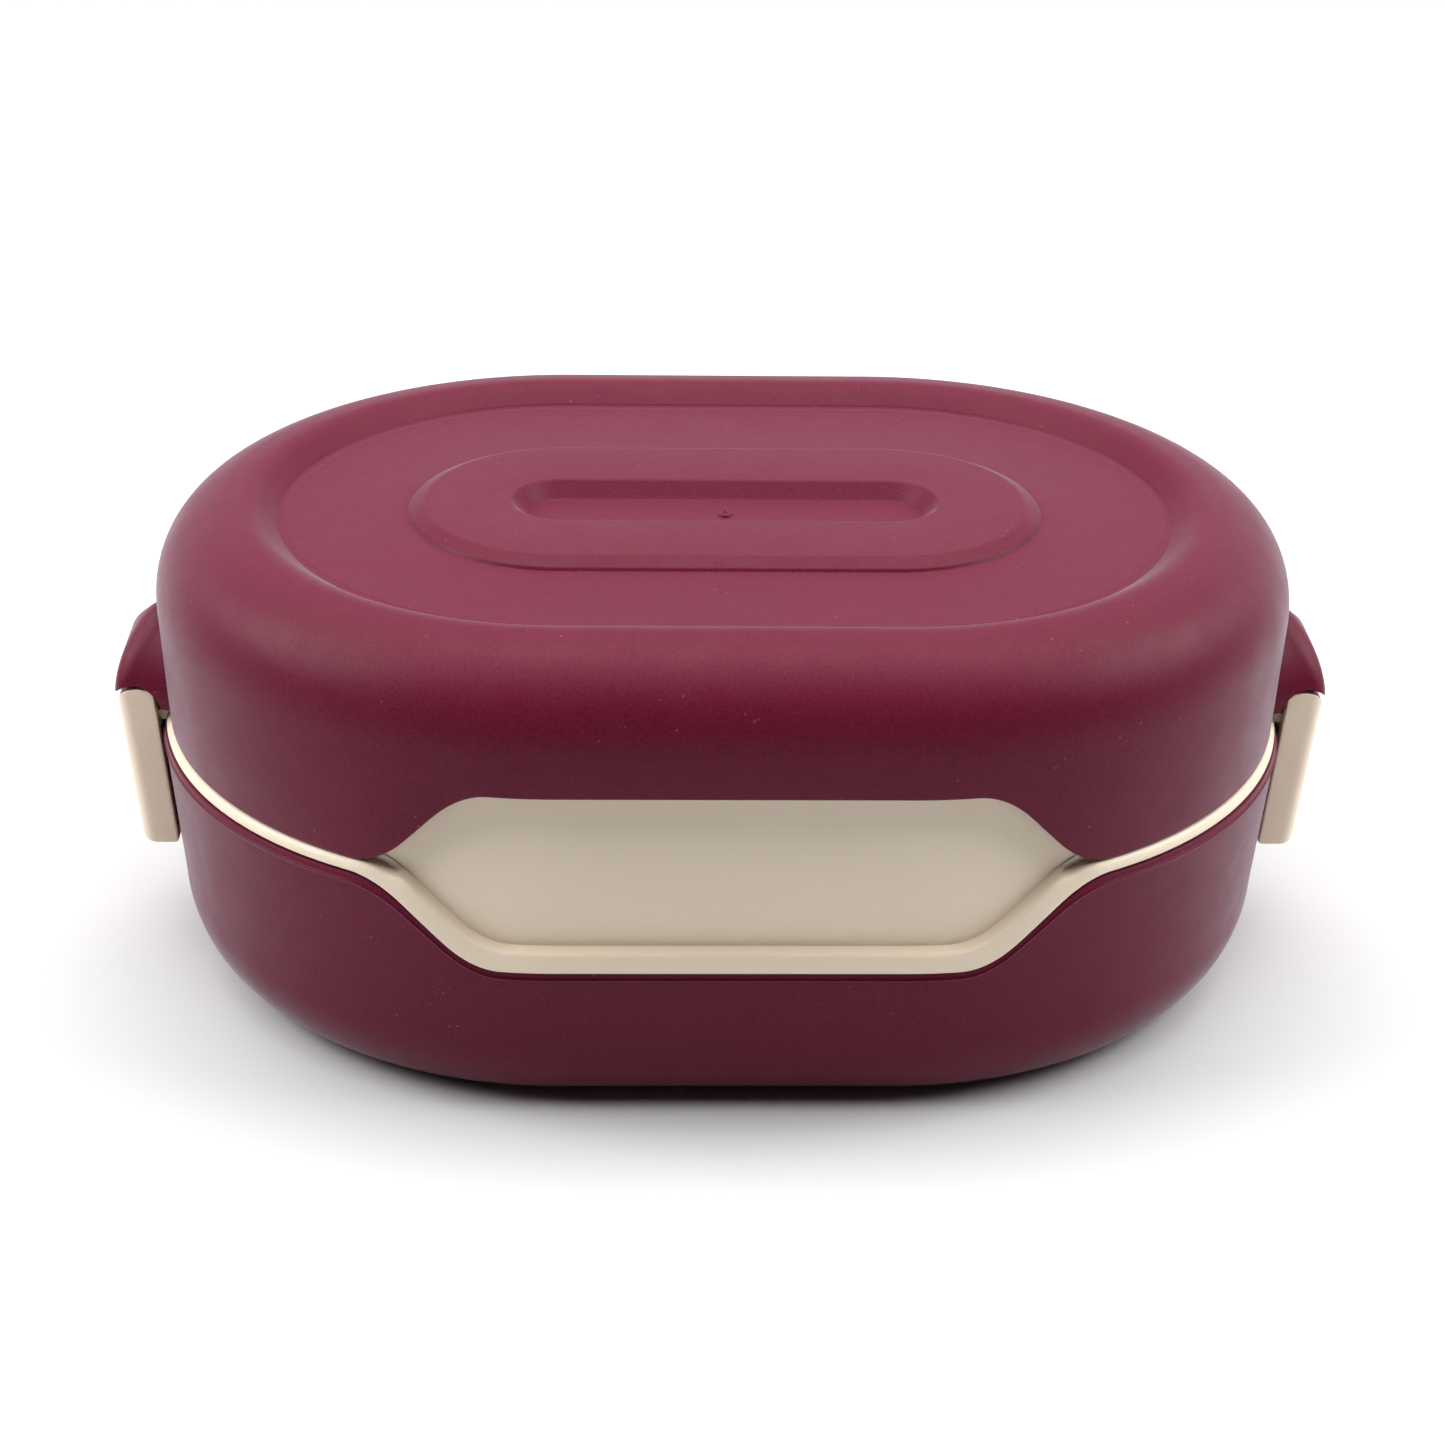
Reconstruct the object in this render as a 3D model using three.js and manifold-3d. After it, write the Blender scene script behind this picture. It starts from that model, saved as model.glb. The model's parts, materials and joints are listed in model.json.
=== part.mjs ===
// Oval two-clip lunch box: outer bowl, food container with a carrying lip, domed lid with an
// inner plate and seal, and two swinging end latches hung on steel pins.
// Millimetres, +X along the box, -Y is the front, +Z up, origin on the table under the middle.
import * as THREE from 'three';
import { ConvexGeometry } from 'three/addons/geometries/ConvexGeometry.js';
import { mergeVertices } from 'three/addons/utils/BufferGeometryUtils.js';
import Module from 'manifold-3d';

const wasm = await Module();
wasm.setup();

// ---- driving dimensions -------------------------------------------------------------------
// Every wall is an offset of one straight spine, so a "radius" is the distance from the spine.
const SPINE = 30;
const GAP = 0.3;

// Outer bowl.
const BOWL_RIM_RADIUS = 75.6;
const BOWL_HEEL_RADIUS = 73.4;
const BOWL_HEEL_Z = 17;
const BOWL_HEEL_RUN = 13;
const BOWL_RIM_Z = 45.6;
const BOWL_WALL = 2.2;

// Food container: lip on the bowl rim, straight wall above it, rim under the lid seal.
const CAN_RADIUS = 71.4;
const CAN_WALL = 2;
const CAN_RIM_Z = 71;
const CAN_FLOOR_Z = 5.4;
const CAN_HEEL_RUN = 12;
const CAN_DRAFT_Z = 30;
const LIP_RADIUS = 75.4;
const LIP_HEIGHT = 3.5;
const LIP_STEP_RADIUS = 71.75;
const LIP_SHOW = 2;
const LIP_OPEN_X = 60;
const LIP_OPEN_EASE = 3.5;

// The grip opening: the seam drops on the lower parts and rises on the lid.
const DROP = 15.2;
const DROP_FROM = 43;
const DROP_SHIFT = 1.3;
const DROP_TO = 59.5;
const RISE = 16.5;
const RISE_FROM = 46;
const RISE_TO = 61;
const CORNER_SOFTNESS = 5;
const PLAN_RADIUS = 75;

// Lid.
const LID_EDGE_Z = 48;
const LID_EDGE_RADIUS = 74.25;
const LID_MAX_RADIUS = 75.25;
const SHOULDER_Z = 71.5;
const CREST_RADIUS = 58;
const TOP_Z = 88.5;
const PLATEAU_RADIUS = 52;
const PLATEAU_Z = 85.3;
const ISLAND_RADIUS = 28;
const ISLAND_Z = 87.1;
const SLOT_RADIUS = 9.3;
const SLOT_FLOOR_Z = 84;
const LID_WALL = 2.1;
const PLATEAU_SLOPE = 1.4;
const ISLAND_SLOPE = 2.6;
const SLOT_SLOPE = 3.8;
const EDGE_BREAK = 0.5;

// Lid plate and seal.
const SEAL_HEIGHT = 2.7;
const SEAL_WIDTH = 2.4;
const PLATE_RADIUS = 71.9;
const PLATE_THICK = 1.6;
const PLATE_RING_DEPTH = 4;
const PLATE_RING_WALL = 1.5;
const SPACER_RADIUS = 47;

// Hoods: a nose on each lid end that shrinks upwards until it dies into the lid wall.
const HOOD_ROOT_X = 103;
const HOOD_REACH = 10.7;
const HOOD_BASE_Z = 52;
const HOOD_HEIGHT = 14.5;
const HOOD_FULLNESS = 1.8;
const HOOD_FLARE = 2.5;
const HOOD_WALL = 2;
const CORNER_RADIUS = 2.6;
const CORNER_GROWTH = 2.4;

// Latches and pins.
const PIVOT_X = 109.6;
const PIVOT_Z = 49;
const LATCH_HALF_WIDTH = 12;
const LATCH_CHEEK = 2;
const LATCH_SKIN = 2.4;
const LATCH_TOP_Z = 53.3;
const LATCH_FOOT_Z = 20.9;
const LATCH_TOP_X = [106.3, 113.6];
const LATCH_FOOT_X = [103.5, 110.4];
const LATCH_SWEEP = 5;
const LATCH_CLEARANCE = 0.5;
const KNUCKLE_RADIUS = 2.4;
const LUG_HALF_WIDTH = 4.5;
const LUG_SLOT_DEPTH = 4.3;
const PIN_RADIUS = 1.25;
const PIN_LENGTH = 22;
const HOOK_HALF_WIDTH = 8.4;
const HOOK_TIP_X = 105.95;
const HOOK_THICK = 2;
const CATCH_HALF_WIDTH = 9.2;
const CATCH_X = 107;

// Dividers.
const DIVIDER_X = 14;
const DIVIDER_THICK = 1.8;
const DIVIDER_TOP_Z = 63;
const GUIDE_REACH = 2.4;
const GUIDE_THICK = 1.4;
const GUIDE_TOP_Z = 61;

// Cutting bodies run between these, well inside and well outside the end walls.
const INSIDE_X = 85;
const OUTSIDE_X = 125;
const ABOVE_LATCH_Z = 60;

// ---- derived dimensions -------------------------------------------------------------------
const LIP_Z = BOWL_RIM_Z + GAP;
const SEAL_Z = CAN_RIM_Z + GAP;
const PLATE_Z = SEAL_Z + SEAL_HEIGHT + GAP;
const CAN_BASE_Z = CAN_FLOOR_Z - CAN_WALL;
const CAN_HEEL_Z = BOWL_HEEL_Z + 1;
const CAN_HEEL_RADIUS = CAN_RADIUS - 1.5;
const GUIDE_OFFSET = DIVIDER_THICK / 2 + GAP;
const CATCH_TOP_Z = LIP_Z + LIP_SHOW - 0.1;

// ---- materials ----------------------------------------------------------------------------
const plastic = (color, roughness) =>
  new THREE.MeshStandardMaterial({ color, roughness, metalness: 0 });
const burgundy = () => plastic(0x6b2137, 0.5);
const beige = () => plastic(0xcfbfaa, 0.4);
const silicone = () => plastic(0xe4e0da, 0.7);
const steel = () => new THREE.MeshStandardMaterial({ color: 0xb9bcc0, roughness: 0.3, metalness: 1 });

// ---- solids -------------------------------------------------------------------------------
const toManifold = (geometry) => {
  const bare = geometry.clone();
  bare.deleteAttribute('normal');
  bare.deleteAttribute('uv');
  const merged = mergeVertices(bare, 1e-5);
  return new wasm.Manifold(new wasm.Mesh({
    numProp: 3,
    vertProperties: new Float32Array(merged.attributes.position.array),
    triVerts: new Uint32Array(merged.index.array),
  }));
};

const toGeometry = (solid) => {
  const mesh = solid.getMesh();
  const geometry = new THREE.BufferGeometry();
  geometry.setAttribute('position', new THREE.BufferAttribute(mesh.vertProperties, 3));
  geometry.setIndex(new THREE.BufferAttribute(mesh.triVerts, 1));
  const flat = geometry.toNonIndexed();
  flat.computeVertexNormals();
  return flat;
};

const piece = (name, solid, material) => {
  const mesh = new THREE.Mesh(toGeometry(solid), material);
  mesh.name = name;
  return mesh;
};

const box = (x0, x1, y0, y1, z0, z1) => {
  const geometry = new THREE.BoxGeometry(x1 - x0, y1 - y0, z1 - z0);
  geometry.translate((x0 + x1) / 2, (y0 + y1) / 2, (z0 + z1) / 2);
  return toManifold(geometry);
};

// A round bar along Y in side-view coordinates.
const bar = (x, z, radius, y0, y1, sides = 20) => {
  const geometry = new THREE.CylinderGeometry(radius, radius, y1 - y0, sides);
  geometry.translate(x, (y0 + y1) / 2, z);
  return toManifold(geometry);
};

// A side-view outline of [x, z] points, given width along Y.
const slab = (outline, y0, y1) => {
  const shape = new THREE.Shape(outline.map(([x, z]) => new THREE.Vector2(x, z)));
  const geometry = new THREE.ExtrudeGeometry(shape, { depth: y1 - y0, bevelEnabled: false });
  geometry.rotateX(Math.PI / 2);
  geometry.translate(0, y1, 0);
  return toManifold(geometry);
};

// ---- walls lofted round the spine ---------------------------------------------------------
const soften = (t) => {
  if (t <= -CORNER_SOFTNESS) return 0;
  if (t >= CORNER_SOFTNESS) return t;
  return (t + CORNER_SOFTNESS) ** 2 / (4 * CORNER_SOFTNESS);
};

// 1 along the middle of the front and back, easing to 0 between `from` and `to`.
const step = (along, from, to) =>
  1 - (soften(Math.abs(along) - from) - soften(Math.abs(along) - to)) / (to - from);
// The lower edge of the lip drops a little further out, so the lip keeps its width on the slope.
const drop = (along, shift = 0) => DROP * step(along, DROP_FROM + shift, DROP_TO + shift);
const lowDrop = (along) => drop(along, DROP_SHIFT);
const rise = (along) => RISE * step(along, RISE_FROM, RISE_TO);
const mix = (a, b, t) => a + (b - a) * t;

// Bearings of the plan samples over one quarter, closest where the seam climbs.
const SEAM_X = [39, 43, 47, 51.5, 56, 60, 64];
const seamBearings = SEAM_X.map((x) => Math.acos((x - SPINE) / PLAN_RADIUS));
const endBearings = [50, 37, 25, 12.5].map(THREE.MathUtils.degToRad);
const quarter = [Math.PI / 2, ...seamBearings, ...endBearings];
const half = [...quarter.map((a) => -a), 0, ...quarter.slice().reverse()];
const plan = [
  ...half.map((a) => ({ x: SPINE, cos: Math.cos(a), sin: Math.sin(a) })),
  ...half.map((a) => ({ x: -SPINE, cos: -Math.cos(a), sin: -Math.sin(a) })),
];
const COUNT = plan.length;
const TIP = (half.length - 1) / 2;

const at = (value, along) => (typeof value === 'function' ? value(along) : value);

const ringPoints = ([radius, z]) => plan.map((p) => {
  const along = p.x + PLAN_RADIUS * p.cos;
  const r = at(radius, along);
  return [p.x + r * p.cos, r * p.sin, at(z, along)];
});

// Pairs of front and back samples from the right tip to the left tip.
const capPairs = [
  ...quarter.map((_, k) => [TIP - k, TIP + k]),
  [0, half.length - 1],
  ...quarter.map((_, k) => [COUNT - 1 - k, half.length + k]),
  [COUNT - 1 - TIP, half.length + TIP],
];

// Joins [radius, z] rings into a closed body; `capped` closes both ends, otherwise it is a band.
const loft = (rings, capped = true) => {
  const corners = [];
  const loops = rings.map(ringPoints);
  const last = capped ? rings.length - 1 : rings.length;
  for (let k = 0; k < last; k += 1) {
    const low = loops[k];
    const high = loops[(k + 1) % loops.length];
    for (let i = 0; i < COUNT; i += 1) {
      const j = (i + 1) % COUNT;
      corners.push(low[i], low[j], high[j], low[i], high[j], high[i]);
    }
  }
  const cap = (loop, up) => {
    for (let k = 0; k + 1 < capPairs.length; k += 1) {
      const [a, b] = capPairs[k];
      const [d, c] = capPairs[k + 1];
      const faces = [[a, b, c], [a, c, d]].filter((f) => new Set(f).size === 3);
      faces.forEach((f) => corners.push(...(up ? f : f.reverse()).map((n) => loop[n])));
    }
  };
  if (capped) {
    cap(loops[0], false);
    cap(loops[loops.length - 1], true);
  }
  const geometry = new THREE.BufferGeometry();
  geometry.setAttribute('position', new THREE.Float32BufferAttribute(corners.flat(), 3));
  return toManifold(geometry);
};

const prism = (radius, z0, z1) => loft([[radius, z0], [radius, z1]]);

// A rounded corner from the flat [radius - run, z] out to the upright [radius, z + rise].
const heel = (radius, z, run, height, steps) =>
  Array.from({ length: steps + 1 }, (_, k) => {
    const angle = (Math.PI / 2) * (k / steps);
    return [radius - run * (1 - Math.sin(angle)), z + height * (1 - Math.cos(angle))];
  });

// ---- outer bowl ---------------------------------------------------------------------------
const bowlRadius = (z) =>
  mix(BOWL_HEEL_RADIUS, BOWL_RIM_RADIUS, (z - BOWL_HEEL_Z) / (BOWL_RIM_Z - BOWL_HEEL_Z));

const outerBowl = () => {
  const rim = (along) => BOWL_RIM_Z - lowDrop(along);
  const rimRadius = (along) => bowlRadius(rim(along));
  const outside = heel(BOWL_HEEL_RADIUS, 0, BOWL_HEEL_RUN, BOWL_HEEL_Z, 5);
  const inside = heel(
    BOWL_HEEL_RADIUS - BOWL_WALL, BOWL_WALL, BOWL_HEEL_RUN, BOWL_HEEL_Z - BOWL_WALL, 4,
  );
  return loft([
    ...outside,
    [rimRadius, (along) => rim(along) - EDGE_BREAK],
    [(along) => rimRadius(along) - EDGE_BREAK, rim],
    [(along) => rimRadius(along) - BOWL_WALL, rim],
    ...inside.reverse(),
  ]);
};

// ---- food container -----------------------------------------------------------------------
const canInner = CAN_RADIUS - CAN_WALL;
const canHeelInner = CAN_HEEL_RADIUS - CAN_WALL;

// Half the inside width across the spine at height z.
const canInside = (z) => {
  if (z >= CAN_DRAFT_Z) return canInner;
  const draft = (z - CAN_HEEL_Z) / (CAN_DRAFT_Z - CAN_HEEL_Z);
  if (z >= CAN_HEEL_Z) return mix(canHeelInner, canInner, draft);
  const fall = 1 - (z - CAN_FLOOR_Z) / (CAN_HEEL_Z - CAN_FLOOR_Z);
  return canHeelInner - CAN_HEEL_RUN * (1 - Math.sqrt(Math.max(0, 1 - fall * fall)));
};

const containerShell = () => {
  const open = (along) =>
    THREE.MathUtils.clamp((LIP_OPEN_X - Math.abs(along)) / LIP_OPEN_EASE, 0, 1);
  const lip = (along) => LIP_Z - drop(along);
  const under = (along) => LIP_Z - lowDrop(along);
  const shown = (along) => mix(LIP_SHOW, LIP_HEIGHT, open(along));
  const outside = heel(CAN_HEEL_RADIUS, CAN_BASE_Z, CAN_HEEL_RUN, CAN_HEEL_Z - CAN_BASE_Z, 4);
  const inside = heel(canHeelInner, CAN_FLOOR_Z, CAN_HEEL_RUN, CAN_HEEL_Z - CAN_FLOOR_Z, 4);
  return loft([
    ...outside,
    [CAN_RADIUS, CAN_DRAFT_Z],
    [CAN_RADIUS, under],
    [LIP_RADIUS - EDGE_BREAK, under],
    [LIP_RADIUS, (along) => under(along) + EDGE_BREAK],
    [LIP_RADIUS, (along) => lip(along) + shown(along) - EDGE_BREAK],
    [(along) => mix(LIP_STEP_RADIUS, LIP_RADIUS - EDGE_BREAK, open(along)),
      (along) => lip(along) + shown(along)],
    [LIP_STEP_RADIUS, (along) => lip(along) + LIP_HEIGHT],
    [CAN_RADIUS, (along) => lip(along) + LIP_HEIGHT],
    [CAN_RADIUS, CAN_RIM_Z],
    [canInner, CAN_RIM_Z],
    [canInner, CAN_DRAFT_Z],
    ...inside.reverse(),
  ]);
};

// Tabs on both ends of the lip for the latch hooks.
const catchTabs = () => {
  const tab = box(INSIDE_X, CATCH_X, -CATCH_HALF_WIDTH, CATCH_HALF_WIDTH, LIP_Z, CATCH_TOP_Z);
  const pair = tab.add(tab.mirror([1, 0, 0]));
  return pair.subtract(prism(CAN_RADIUS + CAN_WALL, 0, TOP_Z));
};

// Upright ribs that hold the divider edges.
const dividerGuides = () => {
  const top = GUIDE_TOP_Z;
  const outer = GUIDE_OFFSET + GUIDE_THICK;
  const bounds = loft([
    [canInner + CAN_WALL / 2, CAN_DRAFT_Z], [canInner + CAN_WALL / 2, CAN_RIM_Z],
  ]);
  const core = prism(canInner - GUIDE_REACH, 0, TOP_Z);
  const across = [-1, 1].map((side) => {
    const near = DIVIDER_X + side * GUIDE_OFFSET;
    const far = DIVIDER_X + side * outer;
    return box(Math.min(near, far), Math.max(near, far), -INSIDE_X, INSIDE_X, CAN_DRAFT_Z, top);
  });
  const end = [-1, 1].map((side) => {
    const y = [side * GUIDE_OFFSET, side * outer].sort((a, b) => a - b);
    return box(INSIDE_X, OUTSIDE_X, y[0], y[1], CAN_DRAFT_Z, top);
  });
  return wasm.Manifold.union([...across, ...end]).intersect(bounds).subtract(core);
};

const foodContainer = () =>
  wasm.Manifold.union([containerShell(), catchTabs(), dividerGuides()]);

// ---- dividers -----------------------------------------------------------------------------
// Inside profile of the container from the floor up, as [reach from the spine, z].
const insideProfile = (clear) => {
  const floor = CAN_FLOOR_Z + GAP;
  const heights = [0, 0.12, 0.35, 0.65, 1].map((t) => mix(floor, CAN_HEEL_Z, t));
  return [...heights, CAN_DRAFT_Z, DIVIDER_TOP_Z].map((z) => [canInside(z - GAP) - clear, z]);
};

const crossDivider = () => {
  const side = insideProfile(2 * GAP);
  const outline = [...side, ...side.map(([y, z]) => [-y, z]).reverse()];
  const plate = slab(outline, -DIVIDER_THICK / 2, DIVIDER_THICK / 2)
    .rotate([0, 0, 90])
    .translate([DIVIDER_X, 0, 0]);
  const face = DIVIDER_X + DIVIDER_THICK / 2;
  const outer = GUIDE_OFFSET + GUIDE_THICK;
  const rib = (y0, y1) =>
    box(face - 0.5, face + GUIDE_REACH, y0, y1, CAN_FLOOR_Z + GAP, GUIDE_TOP_Z);
  return wasm.Manifold.union([plate, rib(GUIDE_OFFSET, outer), rib(-outer, -GUIDE_OFFSET)]);
};

const endDivider = () => {
  const start = DIVIDER_X + DIVIDER_THICK / 2 + GAP;
  const side = insideProfile(2 * GAP).map(([x, z]) => [x + SPINE, z]);
  const outline = [[start, CAN_FLOOR_Z + GAP], ...side, [start, DIVIDER_TOP_Z]];
  return slab(outline, -DIVIDER_THICK / 2, DIVIDER_THICK / 2);
};

// ---- lid ----------------------------------------------------------------------------------
const lidRadius = (z) =>
  mix(LID_EDGE_RADIUS, LID_MAX_RADIUS, (z - LID_EDGE_Z) / (SHOULDER_Z - LID_EDGE_Z));

// Quarter-round shoulder from the wall up to the crest, lowest ring first.
const shoulder = (wall, crestZ, steps) =>
  Array.from({ length: steps + 1 }, (_, k) => {
    const angle = (Math.PI / 2) * (k / steps);
    return [
      mix(CREST_RADIUS, wall, Math.cos(angle)),
      mix(SHOULDER_Z, crestZ, Math.sin(angle)),
    ];
  });

const lidDome = () => {
  const edge = (along) => LID_EDGE_Z + rise(along);
  const edgeRadius = (along) => lidRadius(edge(along));
  const under = PLATEAU_Z - LID_WALL;
  const outside = shoulder(LID_MAX_RADIUS, TOP_Z, 7);
  const inside = shoulder(LID_MAX_RADIUS - LID_WALL, TOP_Z - LID_WALL, 5).reverse();
  return loft([
    [SLOT_RADIUS - 1, SLOT_FLOOR_Z - LID_WALL],
    [SLOT_RADIUS + PLATEAU_SLOPE, under],
    [PLATEAU_RADIUS - 1, under],
    ...inside,
    [(along) => edgeRadius(along) - LID_WALL, edge],
    [(along) => edgeRadius(along) - EDGE_BREAK, edge],
    [edgeRadius, (along) => edge(along) + EDGE_BREAK],
    ...outside,
    [CREST_RADIUS - 1, TOP_Z - EDGE_BREAK],
    [PLATEAU_RADIUS + PLATEAU_SLOPE, PLATEAU_Z + EDGE_BREAK],
    [PLATEAU_RADIUS, PLATEAU_Z],
    [ISLAND_RADIUS, PLATEAU_Z],
    [ISLAND_RADIUS - 0.7 * ISLAND_SLOPE, ISLAND_Z - EDGE_BREAK / 2],
    [ISLAND_RADIUS - ISLAND_SLOPE, ISLAND_Z],
    [SLOT_RADIUS, ISLAND_Z],
    [SLOT_RADIUS - 0.3 * SLOT_SLOPE, ISLAND_Z - EDGE_BREAK],
    [SLOT_RADIUS - 0.7 * SLOT_SLOPE, SLOT_FLOOR_Z + EDGE_BREAK],
    [SLOT_RADIUS - SLOT_SLOPE, SLOT_FLOOR_Z],
  ]);
};

// Flat sections with rounded outer corners, one per height, wrapped into one convex body.
const wrapped = (sections) => {
  const steps = 3;
  const points = sections.flatMap(({ root, reach, half, z, corner, flare = 0 }) => {
    const arc = Array.from({ length: steps + 1 }, (_, k) => (Math.PI / 2) * (k / steps));
    const outer = arc.map((a) => [
      reach - corner * (1 - Math.cos(a)), half - corner * (1 - Math.sin(a)),
    ]);
    return [[root, half + flare], ...outer].flatMap(([x, y]) => [
      new THREE.Vector3(x, y, z), new THREE.Vector3(x, -y, z),
    ]);
  });
  return toManifold(new ConvexGeometry(points));
};

// The nose of the hood; `inset` gives the smaller body of the pocket inside it.
const nose = (inset) => {
  const levels = [0, 0.15, 0.3, 0.45, 0.6, 0.75, 0.9, 0.98];
  const top = levels.map((t) => {
    const size = (1 - t ** HOOD_FULLNESS) ** (1 / HOOD_FULLNESS);
    const half = (LATCH_HALF_WIDTH - inset) * size ** 1.5;
    return {
      root: HOOD_ROOT_X - HOOD_WALL,
      reach: HOOD_ROOT_X + (HOOD_REACH - inset) * size,
      half,
      z: HOOD_BASE_Z + (HOOD_HEIGHT - inset) * t,
      flare: HOOD_FLARE,
      corner: Math.min(CORNER_RADIUS + CORNER_GROWTH * t, 0.85 * half),
    };
  });
  return wrapped([{ ...top[0], z: PIVOT_Z + 1 }, ...top]);
};

// The lug hangs in the middle of the hood and carries the pin.
const lug = (solid) => {
  const neck = box(
    PIVOT_X - KNUCKLE_RADIUS, PIVOT_X + KNUCKLE_RADIUS, -LUG_HALF_WIDTH, LUG_HALF_WIDTH,
    PIVOT_Z, HOOD_BASE_Z + HOOD_HEIGHT,
  );
  const eye = bar(PIVOT_X, PIVOT_Z, KNUCKLE_RADIUS, -LUG_HALF_WIDTH, LUG_HALF_WIDTH, 24);
  return neck.intersect(solid).add(eye);
};

const hood = () => {
  const span = LATCH_HALF_WIDTH + HOOD_FLARE + 1;
  const solid = nose(0);
  const recess = bar(PIVOT_X, PIVOT_Z, LATCH_SWEEP, -span, span, 48);
  const bore = bar(PIVOT_X, PIVOT_Z, PIN_RADIUS + GAP, -span, span, 16);
  return solid
    .subtract(nose(HOOD_WALL))
    .subtract(recess)
    .add(lug(solid))
    .subtract(bore)
    .subtract(prism(LID_MAX_RADIUS - LID_WALL + GAP, 0, TOP_Z - LID_WALL));
};

const lidShell = () => {
  const right = hood();
  return wasm.Manifold.union([lidDome(), right, right.mirror([1, 0, 0])]);
};

// Flat plate inside the lid: a ring drops inside the container rim, a spacer meets the dome.
const lidPlate = () => {
  const top = PLATE_Z + PLATE_THICK;
  const ring = canInner - GAP - 0.1;
  const spacerTop = PLATEAU_Z - LID_WALL - GAP;
  return loft([
    [SPACER_RADIUS, PLATE_Z],
    [ring - PLATE_RING_WALL, PLATE_Z],
    [ring - PLATE_RING_WALL, PLATE_Z - PLATE_RING_DEPTH],
    [ring, PLATE_Z - PLATE_RING_DEPTH],
    [ring, PLATE_Z],
    [PLATE_RADIUS, PLATE_Z],
    [PLATE_RADIUS, top],
    [SPACER_RADIUS, top],
    [SPACER_RADIUS, spacerTop],
    [SPACER_RADIUS - PLATE_RING_WALL, spacerTop],
    [SPACER_RADIUS - PLATE_RING_WALL, top],
  ]);
};

const lidSeal = () => {
  const inner = canInner - 0.1;
  const outer = inner + SEAL_WIDTH;
  const lipZ = SEAL_Z + 0.6;
  return loft([
    [inner, lipZ],
    [inner + 0.6, SEAL_Z],
    [outer - 0.6, SEAL_Z],
    [outer, lipZ],
    [outer, SEAL_Z + SEAL_HEIGHT],
    [inner, SEAL_Z + SEAL_HEIGHT],
  ], false);
};

// ---- latches ------------------------------------------------------------------------------
const latchHeight = LATCH_TOP_Z - LATCH_FOOT_Z;
const latchInner = (z) => mix(LATCH_FOOT_X[0], LATCH_TOP_X[0], (z - LATCH_FOOT_Z) / latchHeight);
const latchOuter = (z) => mix(LATCH_FOOT_X[1], LATCH_TOP_X[1], (z - LATCH_FOOT_Z) / latchHeight);

// Corner steps as [in from the face, away from the end], from the face round to the end.
const OUTER_CROWN = [[0, 2.9], [0.9, 1.5], [2.3, 0.4]];
const INNER_CROWN = [[0, 1.2], [0.9, 0.3]];
const OUTER_FOOT = [[0, 2.6], [0.7, 0.8], [2.4, 0]];
const INNER_FOOT = [[0, 0.9], [0.8, 0]];

// Side view of the latch: low rounded crown, round foot corner.
const latchOutline = () => {
  const outerCorner = (end, sign) => ([inward, away]) =>
    [latchOuter(end + sign * away) - inward, end + sign * away];
  const innerCorner = (end, sign) => ([inward, away]) =>
    [latchInner(end + sign * away) + inward, end + sign * away];
  return [
    ...OUTER_CROWN.map(outerCorner(LATCH_TOP_Z, -1)),
    [PIVOT_X - KNUCKLE_RADIUS / 4, LATCH_TOP_Z],
    ...INNER_CROWN.map(innerCorner(LATCH_TOP_Z, -1)).reverse(),
    ...INNER_FOOT.map(innerCorner(LATCH_FOOT_Z, 1)),
    ...OUTER_FOOT.map(outerCorner(LATCH_FOOT_Z, 1)).reverse(),
  ];
};

const latch = () => {
  const cheek = LATCH_HALF_WIDTH - LATCH_CHEEK;
  const slot = LUG_HALF_WIDTH + GAP;
  const floor = LATCH_FOOT_Z + LATCH_SKIN;
  const skin = (z) => latchOuter(z) - LATCH_SKIN;
  const blank = wrapped([LATCH_FOOT_Z, LATCH_TOP_Z].map((z) => ({
    root: latchInner(z),
    reach: latchOuter(z),
    half: LATCH_HALF_WIDTH,
    z,
    corner: CORNER_RADIUS,
  })));
  const hollow = [
    [INSIDE_X, floor], [skin(floor), floor], [skin(PIVOT_Z), PIVOT_Z],
    [skin(PIVOT_Z), ABOVE_LATCH_Z], [INSIDE_X, ABOVE_LATCH_Z],
  ];
  const boxSide = loft([
    [bowlRadius(BOWL_HEEL_Z) + LATCH_CLEARANCE, BOWL_HEEL_Z],
    [BOWL_RIM_RADIUS + LATCH_CLEARANCE, BOWL_RIM_Z],
    [BOWL_RIM_RADIUS + LATCH_CLEARANCE, LID_EDGE_Z],
  ]);
  const knuckle = bar(PIVOT_X, PIVOT_Z, KNUCKLE_RADIUS, -cheek - GAP, cheek + GAP, 24);
  const hook = box(
    HOOK_TIP_X, skin(BOWL_RIM_Z) + EDGE_BREAK, -HOOK_HALF_WIDTH, HOOK_HALF_WIDTH,
    BOWL_RIM_Z - HOOK_THICK, BOWL_RIM_Z,
  );
  const lugSlot = box(
    INSIDE_X, OUTSIDE_X, -slot, slot, PIVOT_Z - LUG_SLOT_DEPTH, ABOVE_LATCH_Z,
  );
  const blind = LATCH_HALF_WIDTH - 2 * GAP - PIN_LENGTH;
  const bore = bar(PIVOT_X, PIVOT_Z, PIN_RADIUS + GAP, blind, LATCH_HALF_WIDTH + 1, 16);
  return slab(latchOutline(), -LATCH_HALF_WIDTH, LATCH_HALF_WIDTH)
    .intersect(blank)
    .subtract(slab(hollow, -cheek, cheek))
    .subtract(boxSide)
    .add(knuckle)
    .add(hook)
    .subtract(lugSlot)
    .subtract(bore);
};

const latchPin = () => {
  const end = LATCH_HALF_WIDTH - GAP;
  return bar(PIVOT_X, PIVOT_Z, PIN_RADIUS, end - PIN_LENGTH, end, 16);
};

// ---- assembly -----------------------------------------------------------------------------
const named = (name, members) => {
  const group = new THREE.Group();
  group.name = name;
  members.forEach((member) => group.add(member));
  return group;
};

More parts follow.
